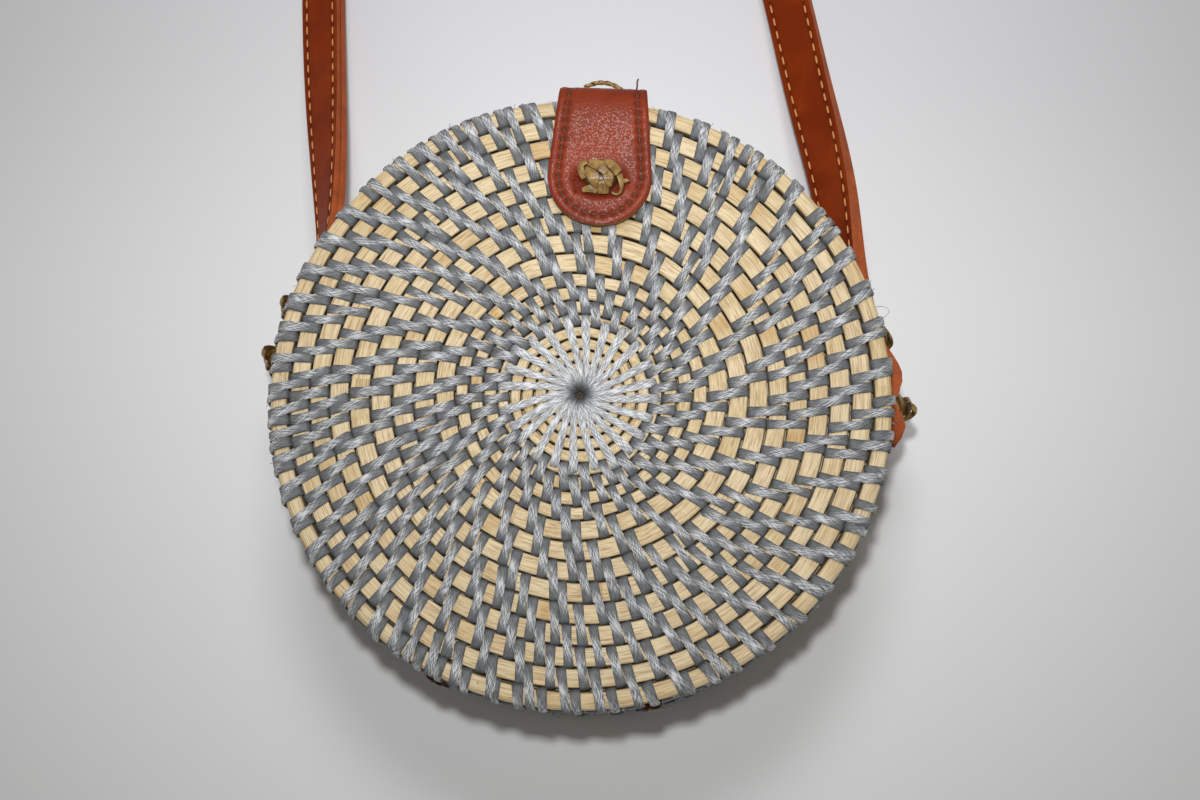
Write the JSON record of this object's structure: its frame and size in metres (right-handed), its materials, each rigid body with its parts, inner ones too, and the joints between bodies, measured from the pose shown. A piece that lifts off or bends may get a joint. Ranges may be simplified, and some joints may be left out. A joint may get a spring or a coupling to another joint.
{
  "type": "round crossbody bag",
  "caption": "Round woven cane bag with a hinged front, a leather closure tab with a press stud, and a long leather shoulder strap tied on with rattan knots.",
  "frame": {"origin": "centre of the back face, on which the bag lies", "axes": "+Z out of the front face, +Y towards the closure tab and the strap, +X to the right seen from the front"},
  "size_m": [0.2395, 0.5584, 0.0907],
  "materials": {
    "cane": "flat cane, satin, fine fibres along the coil",
    "binding": "grey fibre strips over cane, silky sheen",
    "rattan": "folded rattan strands, dull sheen",
    "leather": "red-brown pebbled leather, soft sheen, tan cut edges",
    "lining": "plain cotton cloth, matt",
    "snap": "old brass, satin"
  },
  "bodies": {
    "back_half": {"back_panel": "cane", "back_wall": "binding", "back_lining": "lining", "strap_end_left_outer_ply": "leather", "strap_end_left_inner_ply": "leather", "strap_end_right_outer_ply": "leather", "strap_end_right_inner_ply": "leather", "strap_knot_left_lower": "rattan", "strap_knot_left_upper": "rattan", "strap_knot_right_lower": "rattan", "strap_knot_right_upper": "rattan", "snap_stud": "snap", "snap_washer": "snap", "hinge_left": "leather", "hinge_right": "leather", "hinge_knot_left_back": "rattan", "hinge_knot_right_back": "rattan"},
    "front_half": {"front_panel": "cane", "front_wall": "binding", "front_lining": "lining", "tab_front_outer_ply": "leather", "tab_front_inner_ply": "leather", "closure_knot": "rattan", "hinge_knot_left_front": "rattan", "hinge_knot_right_front": "rattan"},
    "closure_tab": {"tab_flap_outer_ply": "leather", "tab_flap_inner_ply": "leather", "snap_socket": "snap", "tab_knot": "rattan"},
    "strap": {"strap_outer_ply": "leather", "strap_inner_ply": "leather"}
  },
  "joints": [
    {"name": "lid_hinge", "type": "hinge", "parent": "back_half", "child": "front_half", "pos_m": [0, -0.1005, 0.058], "axis": [1, 0, 0], "range_deg": [0, 100], "deforming": ["hinge_left", "hinge_right"]},
    {"name": "tab_lift", "type": "hinge", "parent": "front_half", "child": "closure_tab", "pos_m": [0, 0.0986, 0.0832], "axis": [1, 0, 0], "range_deg": [0, 100]},
    {"name": "strap_swing", "type": "hinge", "parent": "back_half", "child": "strap", "pos_m": [0, 0.078, 0.0435], "axis": [1, 0, 0], "range_deg": [0, 90]}
  ]
}
